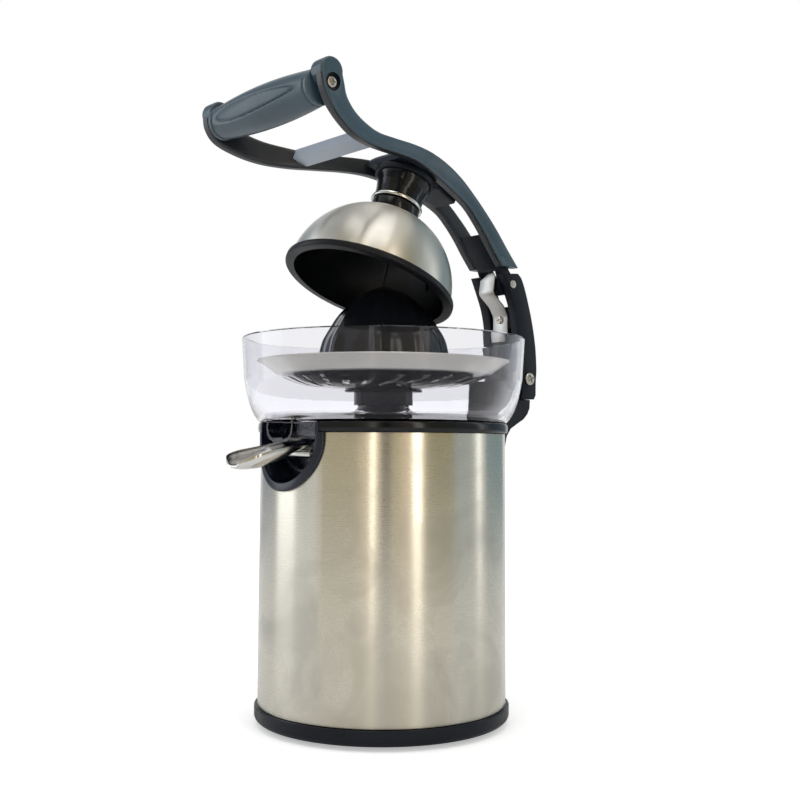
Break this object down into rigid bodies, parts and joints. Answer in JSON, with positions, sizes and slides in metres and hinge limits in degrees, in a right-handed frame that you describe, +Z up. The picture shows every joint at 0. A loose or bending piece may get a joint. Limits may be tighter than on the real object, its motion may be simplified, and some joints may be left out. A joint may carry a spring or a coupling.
{
  "type": "lever citrus press",
  "caption": "Electric citrus press: brushed steel drum body, clear juice bowl with sieve and ribbed cone, tilting spout, and a hinged lever that lowers a steel dome.",
  "frame": {"origin": "on the floor the part stands on, in the middle of its plan, which is 6.3 mm behind the drum's axis", "axes": "+Z up along the body, -Y towards the pouring spout and the grip, +Y towards the lever's hinge, +X to the left of someone who faces the spout"},
  "size_m": [0.1746, 0.2314, 0.3765],
  "materials": {
    "brushed_steel": "finely brushed, satin",
    "polished_steel": "bright, drawn sheet",
    "screw_steel": "plated",
    "black_satin": "satin, lightly grained",
    "black_gloss": "gloss",
    "slate_plastic": "satin, lightly grained",
    "clear_plastic": "clear, gloss",
    "rubber": "matte",
    "motor_metal": "plated, dull",
    "gear_plastic": "natural, satin",
    "bronze": "sintered, oiled"
  },
  "bodies": {
    "housing": {"base_plate": "black_satin", "rubber_foot_1": "rubber", "rubber_foot_2": "rubber", "rubber_foot_3": "rubber", "rubber_foot_4": "rubber", "tie_screw_1": "screw_steel", "tie_screw_2": "screw_steel", "tie_screw_3": "screw_steel", "tie_screw_4": "screw_steel", "housing_sleeve": "brushed_steel", "top_deck": "black_satin", "spout_housing": "black_satin", "spout_pin": "screw_steel", "juice_bowl": "clear_plastic", "sieve": "polished_steel", "sieve_hub": "black_gloss", "shaft_bushing": "bronze", "start_switch": "black_satin", "return_spring": "screw_steel", "gearbox_plate": "motor_metal", "gearbox_screw_1": "screw_steel", "gearbox_screw_2": "screw_steel", "gearbox_screw_3": "screw_steel", "idler_axle": "screw_steel", "motor": "motor_metal", "hinge_bracket": "black_satin", "hinge_pin": "screw_steel", "bracket_screw_right": "screw_steel", "bracket_screw_left": "screw_steel", "friction_leaf": "polished_steel", "leaf_screw": "screw_steel", "rear_spine": "black_satin", "spine_screw_left": "screw_steel", "spine_screw_right": "screw_steel", "cable_gland": "rubber"},
    "lever": {"lever_arm_right": "slate_plastic", "lever_arm_left": "slate_plastic", "lever_crossbar": "slate_plastic", "lever_hub": "black_satin", "lever_heel": "black_satin", "grip": "slate_plastic", "grip_screw_right": "screw_steel", "grip_screw_left": "screw_steel", "dome_shell": "brushed_steel", "dome_liner": "black_gloss", "neck_collar": "black_gloss", "neck_ring": "polished_steel", "neck": "black_gloss", "dome_bolt": "screw_steel"},
    "carriage": {"thrust_cup": "bronze"},
    "cone": {"juicing_cone": "black_gloss", "drive_shaft": "screw_steel", "output_gear": "gear_plastic"},
    "idler": {"idler_gear": "gear_plastic"},
    "rotor": {"motor_pinion": "screw_steel"},
    "spout": {"pouring_spout": "polished_steel"}
  },
  "joints": [
    {"name": "lever_hinge", "type": "hinge", "parent": "housing", "child": "lever", "pos_m": [0, 0.09322, 0.2745], "axis": [1, 0, 0], "range_deg": [-42.5, 22.5]},
    {"name": "cone_press", "type": "slide", "parent": "housing", "child": "carriage", "axis": [0, 0, 1], "range_m": [-0.002, 0], "stiffness_N_per_m": 3000, "springref_m": 0.003, "deforming": ["return_spring"]},
    {"name": "cone_spin", "type": "hinge", "parent": "carriage", "child": "cone", "pos_m": [0, -0.00628, 0.2], "axis": [0, 0, 1], "continuous": true},
    {"name": "idler_spin", "type": "hinge", "parent": "housing", "child": "idler", "pos_m": [0, 0.03572, 0.145], "axis": [0, 0, 1], "continuous": true},
    {"name": "motor_spin", "type": "hinge", "parent": "housing", "child": "rotor", "pos_m": [0, 0.01072, 0.145], "axis": [0, 0, 1], "continuous": true},
    {"name": "spout_tilt", "type": "hinge", "parent": "housing", "child": "spout", "pos_m": [0, -0.07128, 0.1612], "axis": [1, 0, 0], "range_deg": [-18, 0]}
  ],
  "couplings": [
    {"joint": "idler_spin", "follows": "cone_spin", "ratio": -3.6667},
    {"joint": "motor_spin", "follows": "cone_spin", "ratio": 14.667}
  ]
}
